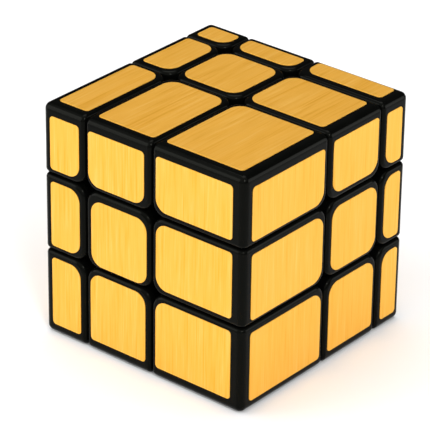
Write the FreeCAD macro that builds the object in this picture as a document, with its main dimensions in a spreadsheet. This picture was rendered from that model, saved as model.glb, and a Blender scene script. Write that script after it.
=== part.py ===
import FreeCAD, Part
import itertools
import math
import os

# A 3 x 3 x 3 shape-shifting twisty cube, standing on its bottom face.
#
# All cuts are square to X, Y and Z and lie half a middle layer either side of one mechanism
# centre. The outer layers differ in thickness, so that centre is off the centre of the cube.
# Every piece is its share of the space round the mechanism centre. Its block has flat cuts.
# Its neck and foot lie in two spherical shells further in, where the cuts are nearer to the
# centre, so that each foot hooks under its neighbours and any layer still turns freely.
# Inside, a six-armed core holds the six centre pieces, each with a screw, a washer and a spring.
# X goes right, Y goes back, Z goes up, and the origin is the middle of the bottom face.

DRIVING_SIZES = {
    # Thickness of each layer of blocks.
    "layer_middle": 18.9,
    "layer_left": 12.4,
    "layer_right": 25.7,
    "layer_front": 28.6,
    "layer_back": 9.5,
    "layer_bottom": 21.0,
    "layer_top": 17.1,
    # Half of the gap between any two pieces that turn against each other.
    "half_gap": 0.15,
    # Hooks: the cut distance in the foot shell and the neck shell, and the shells' radii.
    "foot_cut": 4.4,
    "neck_cut": 7.0,
    "foot_radius": 15.5,
    "neck_radius": 19.0,
    "hollow_radius": 8.5,
    "neck_overlap": 0.8,
    # Moulded blocks.
    "wall_thick": 1.6,
    "round_junction": 3.2,
    "round_cut": 1.0,
    "round_rim": 1.6,
    # Metallic foil stickers.
    "sticker_thick": 0.15,
    "sticker_cut_margin": 1.5,
    "sticker_rim_left": 2.5,
    "sticker_rim_right": 3.15,
    "sticker_rim_front": 2.8,
    "sticker_rim_back": 2.5,
    "sticker_rim_bottom": 2.65,
    "sticker_rim_top": 2.75,
    "sticker_round_rim": 0.9,
    "sticker_round_junction": 3.0,
    # Core.
    "core_ball_radius": 5.0,
    "arm_radius": 3.0,
    "arm_reach": 9.8,
    "pilot_radius": 1.2,
    # Centre pieces, along the screw.
    "bore_clearance": 0.15,
    "floor_height": 10.0,
    "floor_thick": 1.2,
    "screw_hole_radius": 1.5,
    "pocket_radius": 3.15,
    # Screws, springs and washers.
    "screw_tip": 3.8,
    "head_seat": 15.4,
    "head_radius": 2.6,
    "head_thick": 1.4,
    "recess_width": 0.7,
    "recess_length": 3.0,
    "recess_deep": 0.8,
    "washer_radius": 2.9,
    "washer_bore_radius": 1.35,
    "washer_thick": 0.5,
    "spring_radius": 2.1,
    "spring_wire_radius": 0.3,
    "spring_pitch": 0.95,
    "spring_end_gap": 0.1,
}

AXES = ("x", "y", "z")
FACES = {
    ("x", -1): "left",
    ("x", 1): "right",
    ("y", -1): "front",
    ("y", 1): "back",
    ("z", -1): "bottom",
    ("z", 1): "top",
}
# The order in which a piece's name lists the faces that it shows.
NAME_ORDER = ("z", "y", "x")
KINDS = {1: "centre", 2: "edge", 3: "corner"}
Z_AXIS = FreeCAD.Vector(0, 0, 1)

doc = FreeCAD.newDocument("shape_shifting_cube")


def make_sheet():
    """The spreadsheet that holds every driving dimension under its own alias."""
    sheet = doc.addObject("Spreadsheet::Sheet", "Sheet")
    for row, (alias, value) in enumerate(DRIVING_SIZES.items(), start=1):
        sheet.set(f"A{row}", alias.replace("_", " "))
        sheet.set(f"B{row}", str(value))
        sheet.setAlias(f"B{row}", alias)
    doc.recompute()
    return sheet


SHEET = make_sheet()
CUT = "Sheet.layer_middle / 2"


def size(alias):
    """A driving dimension's value, for the few properties that take no expression."""
    return float(SHEET.get(alias))


def face_distance(axis, side):
    """Expression for the distance from the mechanism centre to one face of the cube."""
    return f"({CUT} + Sheet.layer_{FACES[axis, side]})"


def bind(item, **expressions):
    for name, expression in expressions.items():
        item.setExpression(name.replace("__", "."), expression)


def add(kind, name, **expressions):
    item = doc.addObject(kind, name)
    bind(item, **expressions)
    return item


# ---------------------------------------------------------------- basic solids


def box(name, spans):
    """A box whose low and high sides along X, Y and Z are expressions."""
    item = add("Part::Box", name)
    for axis, side, (low, high) in zip(AXES, ("Length", "Width", "Height"), spans):
        item.setExpression(side, f"({high}) - ({low})")
        item.setExpression(f"Placement.Base.{axis}", low)
    return item


def cylinder(name, radius, low, high):
    """A cylinder round the Z axis between two heights."""
    return add(
        "Part::Cylinder", name, Radius=radius, Height=f"({high}) - ({low})", Placement__Base__z=low
    )


def sphere(name, radius):
    return add("Part::Sphere", name, Radius=radius)


def cap_of_sphere(name, radius, height):
    """The part of a ball that lies above a given height."""
    return add("Part::Sphere", name, Radius=radius, Angle1=f"asin(({height}) / ({radius}))")


def fuse(name, shapes):
    item = add("Part::MultiFuse", name)
    item.Shapes = shapes
    return item


def common(name, shapes):
    item = add("Part::MultiCommon", name)
    item.Shapes = shapes
    return item


def cut(name, base, tool):
    item = add("Part::Cut", name)
    item.Base = base
    item.Tool = tool
    return item


def group(name, members):
    item = add("Part::Compound", name)
    item.Links = members
    return item


def point_along(item, axis, side):
    """Turns a solid that was built along +Z so that it points along one half axis."""
    direction = FreeCAD.Vector(*(side if name == axis else 0 for name in AXES))
    item.Placement.Rotation = FreeCAD.Rotation(Z_AXIS, direction)
    return item


def round_box(name, base, radius_of_edge):
    """Rounds the box edges for which radius_of_edge(direction, sides) gives a radius."""
    bounds = base.Shape.BoundBox
    middle = bounds.Center
    rounded = []
    for index, edge in enumerate(base.Shape.Edges, start=1):
        offset = edge.CenterOfMass - middle
        sides = [0 if abs(value) < 1e-6 else int(math.copysign(1, value)) for value in offset]
        radius = radius_of_edge(sides.index(0), sides)
        if radius:
            rounded.append((index, radius, radius))
    item = add("Part::Fillet", name)
    item.Base = base
    item.Edges = rounded
    return item


# ---------------------------------------------------------------- the three kinds of layer

# Bigger than any distance from the mechanism centre to the outside of the cube.
BEYOND = "Sheet.layer_middle + Sheet.layer_front + Sheet.layer_right"


def make_outer_layers():
    """Everything beyond one cut, for each of the six sides of the mechanism."""
    gap = "Sheet.half_gap"
    block_cut = f"{CUT} + {gap}"
    slab = cylinder("outer_slab", BEYOND, block_cut, BEYOND)
    neck = cap_of_sphere("outer_neck", f"Sheet.neck_radius - {gap}", f"Sheet.neck_cut + {gap}")
    foot = cap_of_sphere("outer_foot", f"Sheet.foot_radius - {gap}", f"Sheet.foot_cut + {gap}")
    layers = {}
    for axis, side in FACES:
        layer = fuse(f"layer_{FACES[axis, side]}", [slab, neck, foot])
        layers[axis, side] = point_along(layer, axis, side)
    return layers


def make_middle_layers():
    """Everything between two opposite cuts, for each of the three axes."""
    gap = "Sheet.half_gap"

    def plate(name, distance, radius):
        return cylinder(name, radius, f"-({distance} - {gap})", f"{distance} - {gap}")

    foot_ball = sphere("middle_foot_ball", f"Sheet.foot_radius + {gap}")
    neck_ball = sphere("middle_neck_ball", f"Sheet.neck_radius + {gap}")
    foot_plate = plate("middle_foot", "Sheet.foot_cut", "Sheet.foot_radius + Sheet.wall_thick")
    neck_plate = plate("middle_neck", "Sheet.neck_cut", "Sheet.neck_radius + Sheet.wall_thick")
    block_plate = plate("middle_block", CUT, BEYOND)
    neck_ring = cut("middle_neck_ring", neck_plate, foot_ball)
    block_ring = cut("middle_block_ring", block_plate, neck_ball)
    layers = {}
    for axis in AXES:
        layer = fuse(f"layer_middle_{axis}", [foot_plate, neck_ring, block_ring])
        layers[axis, 0] = point_along(layer, axis, 1)
    return layers


LAYERS = make_outer_layers() | make_middle_layers()
HUB = cut(
    "hub_shell",
    sphere("hub_outside", "Sheet.neck_radius + Sheet.neck_overlap"),
    sphere("hub_inside", "Sheet.hollow_radius"),
)
GUARD_RADIUS = "Sheet.neck_radius + Sheet.half_gap + Sheet.wall_thick"
GUARD = sphere("cavity_guard", GUARD_RADIUS)
doc.recompute()


# ---------------------------------------------------------------- plastic of one piece


def spans_of(signs, cut_inset, face_inset):
    """A piece's extent along each axis, moved in from its cuts and from the cube's faces.

    A {face} in face_inset stands for the name of each face."""
    spans = []
    for axis, side in zip(AXES, signs):
        if side == 0:
            spans.append((f"-({CUT} - ({cut_inset}))", f"{CUT} - ({cut_inset})"))
            continue
        near = f"{CUT} + ({cut_inset})"
        inset = face_inset.format(face=FACES[axis, side])
        far = f"{face_distance(axis, side)} - ({inset})"
        spans.append((near, far) if side > 0 else (f"-({far})", f"-({near})"))
    return spans


def block_radius(signs):
    """How far each edge of a block is rounded: by what the two faces beside it are."""

    def radius(direction, sides):
        others = [index for index in range(3) if index != direction]
        outside = sum(1 for index in others if signs[index] == sides[index])
        if outside == 2:
            return size("round_rim")
        if outside == 1:
            return size("round_cut")
        # A cut meets a cut: rounded where the edge comes out on a face of the cube.
        return size("round_junction") if signs[direction] else 0

    return radius


def make_block(name, signs):
    """The outer block, clear of the shells that belong to its neighbours."""
    plain = box(f"{name}_box", spans_of(signs, "Sheet.half_gap", "Sheet.sticker_thick"))
    doc.recompute([plain])
    rounded = round_box(f"{name}_rounded", plain, block_radius(signs))
    middles = [LAYERS[axis, 0] for axis, side in zip(AXES, signs) if side == 0]
    return common(f"{name}_block", [rounded, *middles]) if middles else rounded


def make_foot(name, signs):
    """The neck and foot that reach in round the mechanism centre."""
    envelope = box(f"{name}_reach", spans_of(signs, f"-({CUT})", "Sheet.sticker_thick"))
    layers = [LAYERS[axis, side] for axis, side in zip(AXES, signs)]
    return common(f"{name}_foot", [HUB, envelope, *layers])


def make_two_shells(name, signs, solid):
    """Hollows a corner or an edge and splits it into its base and its outer cap."""
    inset = "Sheet.half_gap + Sheet.wall_thick"
    skin = "Sheet.sticker_thick + Sheet.wall_thick"
    cavity = cut(f"{name}_cavity", box(f"{name}_cavity_box", spans_of(signs, inset, skin)), GUARD)
    hollow = cut(f"{name}_hollow", solid, cavity)
    cap_room = box(f"{name}_cap_box", spans_of(signs, inset, "-Sheet.wall_thick"))
    cap_space = cut(f"{name}_cap_space", cap_room, GUARD)
    base = cut(f"{name}_base", hollow, cap_space)
    cap = common(f"{name}_cap", [hollow, cap_space])
    return [base, cap]


def make_centre_shells(name, signs, solid):
    """Bores a centre piece for its arm and screw, and closes it with a cap plate."""
    axis, side = next((axis, side) for axis, side in zip(AXES, signs) if side)
    cap_seat = f"{face_distance(axis, side)} - Sheet.sticker_thick - Sheet.wall_thick"
    arm_bore = "Sheet.arm_radius + Sheet.bore_clearance"
    floor_top = "Sheet.floor_height + Sheet.floor_thick"
    bore = cylinder(f"{name}_arm_bore", arm_bore, "0", "Sheet.floor_height")
    hole = cylinder(f"{name}_screw_hole", "Sheet.screw_hole_radius", "0", cap_seat)
    pocket = cylinder(f"{name}_pocket", "Sheet.pocket_radius", floor_top, cap_seat)
    drill = point_along(fuse(f"{name}_drill", [bore, hole, pocket]), axis, side)
    drilled = cut(f"{name}_drilled", solid, drill)

    inset = "Sheet.half_gap + Sheet.wall_thick"
    skin = "Sheet.sticker_thick + Sheet.wall_thick"
    room = size("layer_middle") / 2 + size(f"layer_{FACES[axis, side]}") - size("wall_thick")
    guard = size("neck_radius") + size("wall_thick")
    if room > guard + 2 * size("wall_thick"):
        cavity_box = box(f"{name}_cavity_box", spans_of(signs, inset, skin))
        drilled = cut(f"{name}_hollow", drilled, cut(f"{name}_cavity", cavity_box, GUARD))

    spans = spans_of(signs, inset, "-Sheet.wall_thick")
    index = AXES.index(axis)
    low, high = spans[index]
    spans[index] = (cap_seat, high) if side > 0 else (low, f"-({cap_seat})")
    cap_space = box(f"{name}_cap_box", spans)
    base = cut(f"{name}_base", drilled, cap_space)
    cap = common(f"{name}_cap", [drilled, cap_space])
    return [base, cap]


# ---------------------------------------------------------------- stickers


def sticker_radius(signs, normal):
    """A sticker's corners are rounder where four pieces meet."""

    def radius(direction, sides):
        if direction != normal:
            return 0
        others = [index for index in range(3) if index != direction]
        at_rim = any(signs[index] == sides[index] for index in others)
        return size("sticker_round_rim") if at_rim else size("sticker_round_junction")

    return radius


def make_stickers(name, signs):
    """One foil sticker on each face of the cube that the piece shows."""
    stickers = []
    for index, (axis, side) in enumerate(zip(AXES, signs)):
        if side == 0:
            continue
        spans = spans_of(signs, "Sheet.sticker_cut_margin", "Sheet.sticker_rim_{face}")
        face = face_distance(axis, side)
        under = f"{face} - Sheet.sticker_thick"
        spans[index] = (under, face) if side > 0 else (f"-({face})", f"-({under})")
        plain = box(f"{name}_{FACES[axis, side]}_foil", spans)
        doc.recompute([plain])
        label = f"{name}_{FACES[axis, side]}_sticker"
        stickers.append(round_box(label, plain, sticker_radius(signs, index)))
    return stickers


# ---------------------------------------------------------------- core and hardware


def copies_on_arms(name, make):
    """One copy of a solid on each of the six arms."""
    copies = []
    for axis, side in FACES:
        copies.append(point_along(make(f"{name}_{FACES[axis, side]}"), axis, side))
    return copies


def make_core():
    def arm(name):
        return cylinder(name, "Sheet.arm_radius", "0", "Sheet.arm_reach")

    def pilot(name):
        end = "Sheet.arm_reach + Sheet.wall_thick"
        hole = cylinder(f"{name}_hole", "Sheet.pilot_radius", "Sheet.screw_tip", end)
        # The group can be turned to point along any arm, whatever the hole's own placement.
        return group(name, [hole])

    arms = copies_on_arms("core_arm", arm)
    pilots = copies_on_arms("core_pilot", pilot)
    spider = fuse("core_spider", [sphere("core_ball", "Sheet.core_ball_radius"), *arms])
    return [cut("core_body", spider, fuse("core_pilots", pilots))]


def make_screw(name):
    """A pan-head screw with a cross recess, its head up along +Z."""
    seat = "Sheet.head_seat"
    top = "Sheet.head_seat + Sheet.head_thick"
    shank = cylinder(f"{name}_shank", "Sheet.pilot_radius", "Sheet.screw_tip", top)
    head = cylinder(f"{name}_head", "Sheet.head_radius", seat, top)
    half_long = "Sheet.recess_length / 2"
    half_wide = "Sheet.recess_width / 2"
    deep = (f"{top} - Sheet.recess_deep", f"{top} + Sheet.recess_deep")
    along, across = (f"-{half_long}", half_long), (f"-{half_wide}", half_wide)
    slots = [box(f"{name}_slot_a", [along, across, deep]), box(f"{name}_slot_b", [across, along, deep])]
    return cut(name, fuse(f"{name}_blank", [shank, head]), fuse(f"{name}_recess", slots))


def make_washer(name):
    under = "Sheet.head_seat - Sheet.washer_thick"
    disc = cylinder(f"{name}_disc", "Sheet.washer_radius", under, "Sheet.head_seat")
    hole = cylinder(f"{name}_hole", "Sheet.washer_bore_radius", under, "Sheet.head_seat")
    return cut(name, disc, hole)


def make_spring(name):
    """A compression spring between the centre piece's floor and the washer."""
    start = "Sheet.floor_height + Sheet.floor_thick + Sheet.spring_wire_radius + Sheet.spring_end_gap"
    stop = "Sheet.head_seat - Sheet.washer_thick - Sheet.spring_wire_radius - Sheet.spring_end_gap"
    coil = add(
        "Part::Helix",
        f"{name}_coil",
        Radius="Sheet.spring_radius",
        Pitch="Sheet.spring_pitch",
        Height=f"({stop}) - ({start})",
        Placement__Base__z=start,
    )
    coil.SegmentLength = 0
    wire = add("Part::Circle", f"{name}_wire", Radius="Sheet.spring_wire_radius")
    wire.Placement.Rotation = FreeCAD.Rotation(FreeCAD.Vector(1, 0, 0), 90)
    bind(wire, Placement__Base__x="Sheet.spring_radius", Placement__Base__z=start)
    doc.recompute([coil, wire])
    sweep = add("Part::Sweep", f"{name}_sweep")
    sweep.Sections = [wire]
    sweep.Spine = (coil, ["Edge1"])
    sweep.Solid = True
    sweep.Frenet = True
    return group(name, [sweep])


# ---------------------------------------------------------------- nodes


def node(name, members):
    """A named sub-part, moved from the mechanism centre to its place in the standing cube."""
    item = add(
        "Part::Compound",
        name,
        Placement__Base__x="(Sheet.layer_left - Sheet.layer_right) / 2",
        Placement__Base__y="(Sheet.layer_front - Sheet.layer_back) / 2",
        Placement__Base__z=f"Sheet.layer_bottom + {CUT}",
    )
    item.Links = members
    item.Label = name
    return item


def piece_name(signs):
    by_axis = dict(zip(AXES, signs))
    shown = [FACES[axis, by_axis[axis]] for axis in NAME_ORDER if by_axis[axis]]
    return "_".join([KINDS[len(shown)], *shown])


def make_piece(signs):
    name = piece_name(signs)
    inner = f"{name}_inner"
    solid = fuse(f"{name}_solid", [make_block(inner, signs), make_foot(inner, signs)])
    split = make_centre_shells if signs.count(0) == 2 else make_two_shells
    plastic = node(name, split(inner, signs, solid))
    foil = node(f"{name}_stickers", make_stickers(inner, signs))
    return [plastic, foil]


def make_all():
    nodes = [
        node("core", make_core()),
        node("centre_screws", copies_on_arms("screw", make_screw)),
        node("centre_washers", copies_on_arms("washer", make_washer)),
        node("centre_springs", copies_on_arms("spring", make_spring)),
    ]
    for signs in itertools.product((-1, 0, 1), repeat=3):
        if any(signs):
            nodes += make_piece(signs)
    return nodes


def check_and_export(nodes):
    doc.recompute()
    failed = [item.Label for item in doc.Objects if {"Invalid", "Error"} & set(item.State)]
    if failed:
        raise RuntimeError(f"objects that did not compute: {failed}")
    for item in nodes:
        if item.Shape.isNull() or not item.Shape.isValid() or not item.Shape.Solids:
            raise RuntimeError(f"bad shape: {item.Label}")
    os.makedirs("parts", exist_ok=True)
    for item in nodes:
        item.Shape.exportStep(f"parts/{item.Label}.step")
        print(f"{item.Label}: {len(item.Shape.Solids)} solids, {item.Shape.Volume:.0f} mm3")


check_and_export(make_all())
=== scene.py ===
import itertools
import math

import bmesh
import bpy
from mathutils import Euler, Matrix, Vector


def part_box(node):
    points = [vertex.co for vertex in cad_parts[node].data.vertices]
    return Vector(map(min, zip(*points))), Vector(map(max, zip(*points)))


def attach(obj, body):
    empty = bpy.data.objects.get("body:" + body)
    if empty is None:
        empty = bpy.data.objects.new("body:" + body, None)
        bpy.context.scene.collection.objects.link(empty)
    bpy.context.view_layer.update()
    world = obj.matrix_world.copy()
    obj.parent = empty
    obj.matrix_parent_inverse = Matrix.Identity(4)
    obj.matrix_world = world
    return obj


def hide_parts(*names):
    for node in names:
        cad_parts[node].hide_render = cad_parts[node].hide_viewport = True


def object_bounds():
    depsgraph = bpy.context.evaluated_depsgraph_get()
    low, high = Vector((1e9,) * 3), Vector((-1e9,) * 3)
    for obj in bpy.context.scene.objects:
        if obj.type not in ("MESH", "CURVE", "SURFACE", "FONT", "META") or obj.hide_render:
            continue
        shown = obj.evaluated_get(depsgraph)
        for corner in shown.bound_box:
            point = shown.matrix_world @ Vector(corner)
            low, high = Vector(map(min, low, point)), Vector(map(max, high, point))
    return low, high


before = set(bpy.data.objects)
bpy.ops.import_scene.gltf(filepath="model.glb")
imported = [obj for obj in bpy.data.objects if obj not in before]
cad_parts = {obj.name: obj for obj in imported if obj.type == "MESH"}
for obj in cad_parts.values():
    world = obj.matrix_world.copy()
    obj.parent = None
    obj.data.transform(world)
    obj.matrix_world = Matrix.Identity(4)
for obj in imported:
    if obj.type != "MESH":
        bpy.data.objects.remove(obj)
cad_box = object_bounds()

MM = 0.001
AXES = (0, 1, 2)
FACES = {
    (0, -1): "left",
    (0, 1): "right",
    (1, -1): "front",
    (1, 1): "back",
    (2, -1): "bottom",
    (2, 1): "top",
}
KINDS = {1: "centre", 2: "edge", 3: "corner"}
# The order in which a piece's name lists the faces that it shows.
NAME_ORDER = (2, 1, 0)


# ---------------------------------------------------------------- camera, floor and light

CAMERA_AZIMUTH = 39.44
CAMERA_ELEVATION = 27.73
CAMERA_ROLL = 0.77
CAMERA_DISTANCE = 658.2 * MM
# Width of the view, over its distance.
VIEW_WIDTH = 0.144956850
# Nearest and farthest distance that the camera shows, in metres.
CAMERA_NEAR, CAMERA_FAR = 0.01, 20
# The point that the camera looks at, from the middle of the cube.
AIM_OFFSET = Vector((-1.48, -1.67, -0.67)) * MM

# Distance from the middle of the floor to each of its edges, in metres.
FLOOR_REACH = 2.0
FLOOR_COLOR = (0.9, 0.9, 0.9, 1)
FLOOR_ROUGHNESS = 0.9
FLOOR_SPECULAR = 0.1

WHITE = (1, 1, 1, 1)
# Azimuth and elevation of the brightest part of the studio.
SKY_MIDDLE = (20, 60)
# Brightness of the studio's darkest and brightest parts.
SKY_LOW, SKY_HIGH = 0.07, 1.08
# Cosines of the angles from the brightest part between which the studio darkens.
SKY_RISE = (0.45, 0.75)

# How far the soft boxes stand from the cube, in metres.
LIGHT_DISTANCE = 1.2
# Name, azimuth and elevation, width in metres, and brightness in the sky's units.
LIGHTS = (
    ("key", -50, 20, 0.95, 3.5),
    ("back", 128, 12, 0.8, 3.2),
    ("front_high", 54, 44, 0.26, 26.0),
    ("overhead", -140, 72, 0.9, 2.6),
)


def direction(azimuth, elevation):
    """Unit vector from the cube towards a place round it. Azimuth 0 is in front, 90 on the right."""
    a, e = math.radians(azimuth), math.radians(elevation)
    return Vector((math.sin(a) * math.cos(e), -math.cos(a) * math.cos(e), math.sin(e)))


def make_camera():
    data = bpy.data.cameras.new("camera")
    data.lens = data.sensor_width / VIEW_WIDTH
    data.clip_start, data.clip_end = CAMERA_NEAR, CAMERA_FAR
    camera = bpy.data.objects.new("camera", data)
    bpy.context.scene.collection.objects.link(camera)
    back = direction(CAMERA_AZIMUTH, CAMERA_ELEVATION)
    middle = (cad_box[0] + cad_box[1]) / 2
    camera.location = middle + AIM_OFFSET + back * CAMERA_DISTANCE
    upright = (-back).to_track_quat("-Z", "Y")
    camera.rotation_mode = "QUATERNION"
    camera.rotation_quaternion = upright @ Euler((0, 0, math.radians(CAMERA_ROLL))).to_quaternion()
    bpy.context.scene.camera = camera


def make_floor():
    mesh = bpy.data.meshes.new("floor")
    corners = [(x * FLOOR_REACH, y * FLOOR_REACH, 0) for x, y in ((-1, -1), (1, -1), (1, 1), (-1, 1))]
    mesh.from_pydata(corners, [], [(0, 1, 2, 3)])
    floor = bpy.data.objects.new("floor", mesh)
    bpy.context.scene.collection.objects.link(floor)
    material = bpy.data.materials.new("pale_floor")
    material.use_nodes = True
    shader = material.node_tree.nodes["Principled BSDF"]
    shader.inputs["Base Color"].default_value = FLOOR_COLOR
    shader.inputs["Roughness"].default_value = FLOOR_ROUGHNESS
    shader.inputs["Specular IOR Level"].default_value = FLOOR_SPECULAR
    mesh.materials.append(material)


def make_light(name, azimuth, elevation, width, brightness):
    """A round soft box that faces the cube. The camera doesn't see it."""
    data = bpy.data.lights.new(name, "AREA")
    data.shape = "DISK"
    data.size = width
    area = math.pi * (width / 2) ** 2
    data.energy = brightness * math.pi * area
    lamp = bpy.data.objects.new(name, data)
    bpy.context.scene.collection.objects.link(lamp)
    towards = direction(azimuth, elevation)
    lamp.location = towards * LIGHT_DISTANCE
    lamp.rotation_mode = "QUATERNION"
    lamp.rotation_quaternion = towards.to_track_quat("Z", "Y")
    lamp.visible_camera = False


def make_sky():
    """A studio that is bright above and in front, and dark behind and near the floor.

    Where it shows behind the floor it is a plain white backdrop."""
    world = bpy.data.worlds.new("studio")
    bpy.context.scene.world = world
    world.use_nodes = True
    nodes = world.node_tree.nodes
    links = world.node_tree.links
    place = nodes.new("ShaderNodeTexCoord")
    closeness = nodes.new("ShaderNodeVectorMath")
    closeness.operation = "DOT_PRODUCT"
    closeness.inputs[1].default_value = direction(*SKY_MIDDLE)
    links.new(place.outputs["Generated"], closeness.inputs[0])
    spread = nodes.new("ShaderNodeMapRange")
    spread.interpolation_type = "SMOOTHSTEP"
    links.new(closeness.outputs["Value"], spread.inputs["Value"])
    limits = (*SKY_RISE, SKY_LOW, SKY_HIGH)
    for socket, value in zip(("From Min", "From Max", "To Min", "To Max"), limits):
        spread.inputs[socket].default_value = value
    links.new(spread.outputs["Result"], nodes["Background"].inputs["Strength"])
    nodes["Background"].inputs["Color"].default_value = WHITE
    backdrop = nodes.new("ShaderNodeBackground")
    backdrop.inputs["Color"].default_value = WHITE
    choice = nodes.new("ShaderNodeMixShader")
    links.new(nodes.new("ShaderNodeLightPath").outputs["Is Camera Ray"], choice.inputs["Fac"])
    links.new(nodes["Background"].outputs["Background"], choice.inputs[1])
    links.new(backdrop.outputs["Background"], choice.inputs[2])
    links.new(choice.outputs["Shader"], nodes["World Output"].inputs["Surface"])


def make_lights():
    make_sky()
    for light in LIGHTS:
        make_light(*light)
    bpy.context.scene.view_settings.view_transform = "Standard"


# ---------------------------------------------------------------- materials

# A pattern's scale is about the number of its waves in a metre. Its fineness is the strength of
# each finer layer, over that of the layer before. A relief is given by its depth and strength.

# A foil faces along an axis if its normal's part along that axis is more than this.
FACES_ALONG = 0.7
# The direction in which a foil faces is told by a number: 0 for front or back, 1 for sideways,
# and this for up or down.
UP_OR_DOWN = 0.5
# How far apart the patterns of foils that face in different directions are taken.
PATTERN_GAP = 7.3
# Scales across the brushing and along it, and the detail.
BROAD_STREAKS = (500, 26, 2)
FINE_STREAKS = (2600, 80, 2)
HAIR_STREAKS = (9000, 300, 2)
SCRATCH_STREAKS = (2000, 38, 1)
STREAK_FINENESS = 0.55
# Values of the streaks between which a scratch deepens, and how dark it gets.
SCRATCH_RISE = (0.60, 0.70)
SCRATCH_DARKNESS = 0.18
# How much fainter the brushing is on the foils that face sideways, up or down.
FAINTER = 0.3
# Shares of the broad streaks in the color, and of the hair streaks in the relief.
BROAD_SHARE = 0.3
HAIR_SHARE = 0.4
GOLD_SHADES = (
    (0.32, (0.880, 0.445, 0.042)),
    (0.46, (0.945, 0.512, 0.072)),
    (0.54, (0.955, 0.532, 0.088)),
    (0.68, (0.975, 0.605, 0.150)),
)
GOLD_METALLIC = 0.9
GOLD_ROUGHNESS = (0.46, 0.64)
GOLD_RELIEF = (0.03 * MM, 0.5)

# Values of a cloudy pattern at which a surface has its darker and its paler shade.
CLOUD_RANGE = (0.3, 0.7)
CLOUD_DETAIL = 3
# Fineness of the black plastic's grain and of the steel's marks.
GRAIN_FINENESS = 0.6

BLACK_CLOUDS, BLACK_GRAIN = 120, 5200
BLACK_SHADES = (0.0014, 0.0015, 0.0013), (0.0023, 0.0025, 0.0021)
BLACK_SPECULAR = 0.05
BLACK_TINT = (0.98, 1.0, 0.86, 1)
BLACK_ROUGHNESS = (0.10, 0.18)
BLACK_RELIEF = (0.006 * MM, 0.3)

CORE_CLOUDS, CORE_GRAIN = 150, 4000
CORE_SHADES = (0.62, 0.60, 0.54), (0.70, 0.68, 0.62)
CORE_ROUGHNESS = (0.42, 0.55)
CORE_RELIEF = (0.02 * MM, 0.4)

# Paler shade of each steel, and the scale of its marks.
ZINC_PLATED = (0.62, 0.63, 0.64), 2500
SPRING_WIRE = (0.50, 0.50, 0.51), 5000
STEEL_CLOUDS = 400
# The darker shade, over the paler one.
STEEL_DARKNESS = 0.82
STEEL_ROUGHNESS = (0.22, 0.38)
STEEL_RELIEF = (0.01 * MM, 0.5)


class Nodes:
    """Short ways to add shader nodes to one material."""

    def __init__(self, name):
        self.material = bpy.data.materials.new(name)
        self.material.use_nodes = True
        self.tree = self.material.node_tree
        self.shader = self.tree.nodes["Principled BSDF"]

    def add(self, kind, **settings):
        item = self.tree.nodes.new(kind)
        for key, value in settings.items():
            setattr(item, key, value)
        return item

    def link(self, output, item, socket):
        self.tree.links.new(output, item.inputs[socket])

    def math(self, operation, *values):
        item = self.add("ShaderNodeMath", operation=operation)
        for index, value in enumerate(values):
            if isinstance(value, (int, float)):
                item.inputs[index].default_value = value
            else:
                self.link(value, item, index)
        return item.outputs[0]

    def mix(self, share, low, high):
        """low where share is 0 and high where it is 1."""
        return self.math("MULTIPLY_ADD", self.math("SUBTRACT", high, low), share, low)

    def noise(self, vector, scale, detail=2.0, fineness=0.5):
        item = self.add("ShaderNodeTexNoise")
        self.link(vector, item, "Vector")
        item.inputs["Scale"].default_value = scale
        item.inputs["Detail"].default_value = detail
        item.inputs["Roughness"].default_value = fineness
        return item.outputs["Fac"]

    def ramp(self, value, *stops):
        item = self.add("ShaderNodeValToRGB")
        self.link(value, item, "Fac")
        elements = item.color_ramp.elements
        while len(elements) < len(stops):
            elements.new(0.5)
        for element, (position, color) in zip(elements, stops):
            element.position = position
            element.color = (*color, 1)
        return item.outputs["Color"]

    def shades(self, cloud, dark, pale):
        """Goes from the dark shade to the pale one as a cloudy pattern rises."""
        return self.ramp(cloud, *zip(CLOUD_RANGE, (dark, pale)))

    def spread(self, value, low, high, start=0.0, end=1.0):
        """A value that runs from start to end as one that runs from low to high."""
        item = self.add("ShaderNodeMapRange")
        self.link(value, item, "Value")
        item.inputs["From Min"].default_value = start
        item.inputs["From Max"].default_value = end
        item.inputs["To Min"].default_value = low
        item.inputs["To Max"].default_value = high
        return item.outputs["Result"]

    def bump(self, height, depth, strength):
        item = self.add("ShaderNodeBump")
        item.inputs["Distance"].default_value = depth
        item.inputs["Strength"].default_value = strength
        self.link(height, item, "Height")
        self.link(item.outputs["Normal"], self.shader, "Normal")


def brushed_coordinates(nodes):
    """Position across the brushing and along it, and the number of the direction faced.

    The foils on the upright faces are brushed up and down, and the others front to back."""
    place = nodes.add("ShaderNodeTexCoord")
    where = nodes.add("ShaderNodeSeparateXYZ")
    nodes.link(place.outputs["Object"], where, 0)
    facing = nodes.add("ShaderNodeSeparateXYZ")
    nodes.link(place.outputs["Normal"], facing, 0)
    x, y, z = where.outputs
    sideways, level = (
        nodes.math("GREATER_THAN", nodes.math("ABSOLUTE", facing.outputs[axis]), FACES_ALONG)
        for axis in (0, 2)
    )
    across = nodes.mix(sideways, x, y)
    along = nodes.mix(level, z, y)
    return across, along, nodes.math("MULTIPLY_ADD", level, UP_OR_DOWN, sideways)


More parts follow.
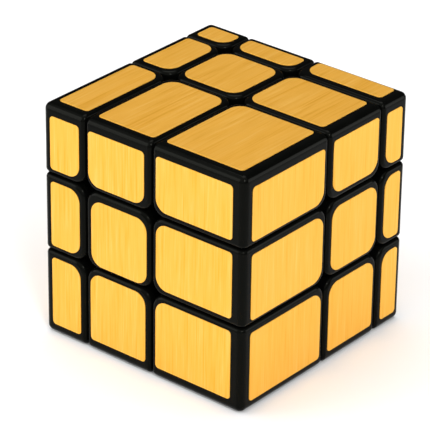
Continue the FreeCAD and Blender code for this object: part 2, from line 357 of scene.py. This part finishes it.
def make_gold():
    nodes = Nodes("brushed_gold_foil")
    across, along, facing = brushed_coordinates(nodes)

    def streaks(across_scale, along_scale, detail):
        vector = nodes.add("ShaderNodeCombineXYZ")
        nodes.link(nodes.math("MULTIPLY", across, across_scale), vector, 0)
        nodes.link(nodes.math("MULTIPLY", along, along_scale), vector, 1)
        nodes.link(nodes.math("MULTIPLY", facing, PATTERN_GAP), vector, 2)
        return nodes.noise(vector.outputs[0], 1.0, detail, STREAK_FINENESS)

    faint = nodes.math("GREATER_THAN", facing, UP_OR_DOWN / 2)
    strength = nodes.math("MULTIPLY_ADD", faint, -FAINTER, 1.0)

    def soften(value):
        """Brings a pattern nearer to its middle value on the foils with fainter brushing."""
        return nodes.math("MULTIPLY_ADD", nodes.math("SUBTRACT", value, 0.5), strength, 0.5)

    broad = soften(streaks(*BROAD_STREAKS))
    fine = soften(streaks(*FINE_STREAKS))
    scratches = nodes.spread(streaks(*SCRATCH_STREAKS), 0.0, SCRATCH_DARKNESS, *SCRATCH_RISE)
    dull = nodes.math("MULTIPLY", scratches, strength)
    tone = nodes.math("SUBTRACT", nodes.mix(BROAD_SHARE, fine, broad), dull)
    nodes.link(nodes.ramp(tone, *GOLD_SHADES), nodes.shader, "Base Color")
    nodes.shader.inputs["Metallic"].default_value = GOLD_METALLIC
    nodes.link(nodes.spread(fine, *GOLD_ROUGHNESS), nodes.shader, "Roughness")
    nodes.bump(nodes.mix(HAIR_SHARE, fine, streaks(*HAIR_STREAKS)), *GOLD_RELIEF)
    return nodes.material


def make_black_plastic():
    nodes = Nodes("black_plastic")
    place = nodes.add("ShaderNodeTexCoord").outputs["Object"]
    cloud = nodes.noise(place, BLACK_CLOUDS, CLOUD_DETAIL)
    nodes.link(nodes.shades(cloud, *BLACK_SHADES), nodes.shader, "Base Color")
    nodes.shader.inputs["Specular IOR Level"].default_value = BLACK_SPECULAR
    nodes.shader.inputs["Specular Tint"].default_value = BLACK_TINT
    nodes.link(nodes.spread(cloud, *BLACK_ROUGHNESS), nodes.shader, "Roughness")
    nodes.bump(nodes.noise(place, BLACK_GRAIN, fineness=GRAIN_FINENESS), *BLACK_RELIEF)
    return nodes.material


def make_core_plastic():
    nodes = Nodes("core_plastic")
    place = nodes.add("ShaderNodeTexCoord").outputs["Object"]
    cloud = nodes.noise(place, CORE_CLOUDS, CLOUD_DETAIL)
    nodes.link(nodes.shades(cloud, *CORE_SHADES), nodes.shader, "Base Color")
    nodes.link(nodes.spread(cloud, *CORE_ROUGHNESS), nodes.shader, "Roughness")
    nodes.bump(nodes.noise(place, CORE_GRAIN), *CORE_RELIEF)
    return nodes.material


def make_steel(name, shade, marks_scale):
    """Zinc plated or drawn steel, with fine marks all over it."""
    nodes = Nodes(name)
    place = nodes.add("ShaderNodeTexCoord").outputs["Object"]
    cloud = nodes.noise(place, STEEL_CLOUDS, CLOUD_DETAIL)
    marks = nodes.noise(place, marks_scale, fineness=GRAIN_FINENESS)
    dark = tuple(STEEL_DARKNESS * part for part in shade)
    nodes.link(nodes.shades(cloud, dark, shade), nodes.shader, "Base Color")
    nodes.shader.inputs["Metallic"].default_value = 1.0
    nodes.link(nodes.spread(marks, *STEEL_ROUGHNESS), nodes.shader, "Roughness")
    nodes.bump(marks, *STEEL_RELIEF)
    return nodes.material


# ---------------------------------------------------------------- foil stickers

# Corner radii at the rims of the cube, and where four blocks meet.
ROUND_AT_RIM = 0.9 * MM
ROUND_AT_JUNCTION = 3.0 * MM
FOIL_THICK = 0.15 * MM
# Radius of the rounded top edge.
FOIL_EDGE = 0.06 * MM
# Steps in a quarter turn of a corner, and of the top edge.
ARC_STEPS, EDGE_STEPS = 10, 4
# Edges that bend by more degrees than this are shaded as sharp ones.
SHARP_BEND = 50
# Points of a CAD foil are this near to the face of the cube that it lies on.
PLATE_REACH = 1.5 * FOIL_THICK
# Some foils were stuck on a little off their places, by this many mm along X, Y and Z.
STUCK_OFF = {
    "corner_top_front_left_front": (-0.1, 0, 0),
    "edge_top_front_front": (-0.42, 0, -0.08),
    "corner_top_front_right_front": (-0.08, 0, 0.2),
    "edge_front_left_front": (-0.1, 0, 0),
    "centre_front_front": (0.34, 0, -0.5),
    "edge_front_right_front": (0, 0, 0.26),
    "edge_bottom_front_front": (0, 0, 0.22),
    "corner_bottom_front_right_front": (-0.07, 0, 0.25),
    "corner_top_front_right_right": (0, -0.1, -0.2),
    "edge_top_right_right": (0, 0, 0.3),
    "edge_front_right_right": (0, 0, -0.25),
    "centre_right_right": (0, 0.2, -0.2),
    "edge_back_right_right": (0, 0.18, 0.07),
    "corner_bottom_front_right_right": (0, 0, -0.25),
    "corner_bottom_back_right_right": (0, 0.3, -0.2),
    "edge_top_front_top": (0.2, -0.3, 0),
    "corner_top_front_right_top": (0.2, 0, 0),
    "edge_top_left_top": (0, 0.2, 0),
    "centre_top_top": (-0.25, 0, 0),
    "corner_top_back_right_top": (0.4, 0.8, 0),
}


def outline(low, high, radii, inset):
    """Points round a rectangle with its own radius at each corner, moved in by inset."""
    points = []
    corners = [(1, 1, 0), (0, 1, 90), (0, 0, 180), (1, 0, 270)]
    for (right, upper, start), radius in zip(corners, radii):
        x = high[0] - radius if right else low[0] + radius
        y = high[1] - radius if upper else low[1] + radius
        for step in range(ARC_STEPS + 1):
            angle = math.radians(start + 90 * step / ARC_STEPS)
            points.append((x + (radius - inset) * math.cos(angle), y + (radius - inset) * math.sin(angle)))
    return points


def make_foil_mesh(name, low, high, radii, place):
    """A thin plate with a rounded top edge. place turns its own x, y and height into a point."""
    mesh = bmesh.new()
    rings = [(0.0, 0.0)]
    for step in range(EDGE_STEPS + 1):
        angle = math.radians(90 * step / EDGE_STEPS)
        inset = FOIL_EDGE * (1 - math.cos(angle))
        rings.append((inset, FOIL_THICK - FOIL_EDGE * (1 - math.sin(angle))))
    rings.append((FOIL_EDGE * 2, FOIL_THICK))
    loops = []
    for inset, height in rings:
        points = outline(low, high, radii, inset)
        loops.append([mesh.verts.new(place(x, y, height)) for x, y in points])
    for under, over in zip(loops, loops[1:]):
        for index in range(len(under)):
            after = (index + 1) % len(under)
            mesh.faces.new((under[index], under[after], over[after], over[index]))
    mesh.faces.new(loops[-1])
    mesh.faces.new(reversed(loops[0]))
    bmesh.ops.recalc_face_normals(mesh, faces=mesh.faces)
    data = bpy.data.meshes.new(name)
    mesh.to_mesh(data)
    mesh.free()
    data.shade_smooth()
    data.set_sharp_from_angle(angle=math.radians(SHARP_BEND))
    foil = bpy.data.objects.new(name, data)
    bpy.context.scene.collection.objects.link(foil)
    return foil


def plate_span(node, normal, side):
    """Lowest and highest corners of a node's plate that lies on one face of the cube."""
    lowest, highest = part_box(node)
    face = highest[normal] if side > 0 else lowest[normal]
    points = [vertex.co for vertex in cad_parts[node].data.vertices]
    plate = [point for point in points if abs(point[normal] - face) < PLATE_REACH]
    return [[pick(point[axis] for point in plate) for axis in AXES] for pick in (min, max)]


def make_foils(piece, signs, material):
    """One foil for each face of the cube that a piece shows, in place of its CAD plates."""
    node = f"{piece}_stickers"
    for normal, side in zip(AXES, signs):
        if side == 0:
            continue
        lowest, highest = plate_span(node, normal, side)
        face = highest[normal] if side > 0 else lowest[normal]
        u, v = (axis for axis in AXES if axis != normal)

        def place(x, y, height):
            point = [0.0, 0.0, 0.0]
            point[u], point[v] = x, y
            point[normal] = face + side * (height - FOIL_THICK)
            return point

        radii = []
        for at_u, at_v in ((1, 1), (-1, 1), (-1, -1), (1, -1)):
            at_rim = signs[u] == at_u or signs[v] == at_v
            radii.append(ROUND_AT_RIM if at_rim else ROUND_AT_JUNCTION)
        name = f"{piece}_{FACES[normal, side]}"
        shift = Vector(STUCK_OFF.get(name, (0, 0, 0))) * MM
        low = (lowest[u] + shift[u], lowest[v] + shift[v])
        high = (highest[u] + shift[u], highest[v] + shift[v])
        foil = make_foil_mesh(f"{name}_foil", low, high, radii, place)
        foil.data.materials.append(material)
        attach(foil, piece)
        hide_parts(node)


# ---------------------------------------------------------------- the whole cube


def piece_name(signs):
    shown = [FACES[axis, signs[axis]] for axis in NAME_ORDER if signs[axis]]
    return "_".join([KINDS[len(shown)], *shown])


def paint(node, material):
    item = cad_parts[node]
    item.data.materials.clear()
    item.data.materials.append(material)


def make_cube():
    gold = make_gold()
    black = make_black_plastic()
    for signs in itertools.product((-1, 0, 1), repeat=3):
        if any(signs):
            name = piece_name(signs)
            paint(name, black)
            make_foils(name, signs, gold)
    steel = make_steel("zinc_plated_steel", *ZINC_PLATED)
    wire = make_steel("spring_wire", *SPRING_WIRE)
    paint("core", make_core_plastic())
    paint("centre_screws", steel)
    paint("centre_washers", steel)
    paint("centre_springs", wire)


make_camera()
make_floor()
make_lights()
make_cube()
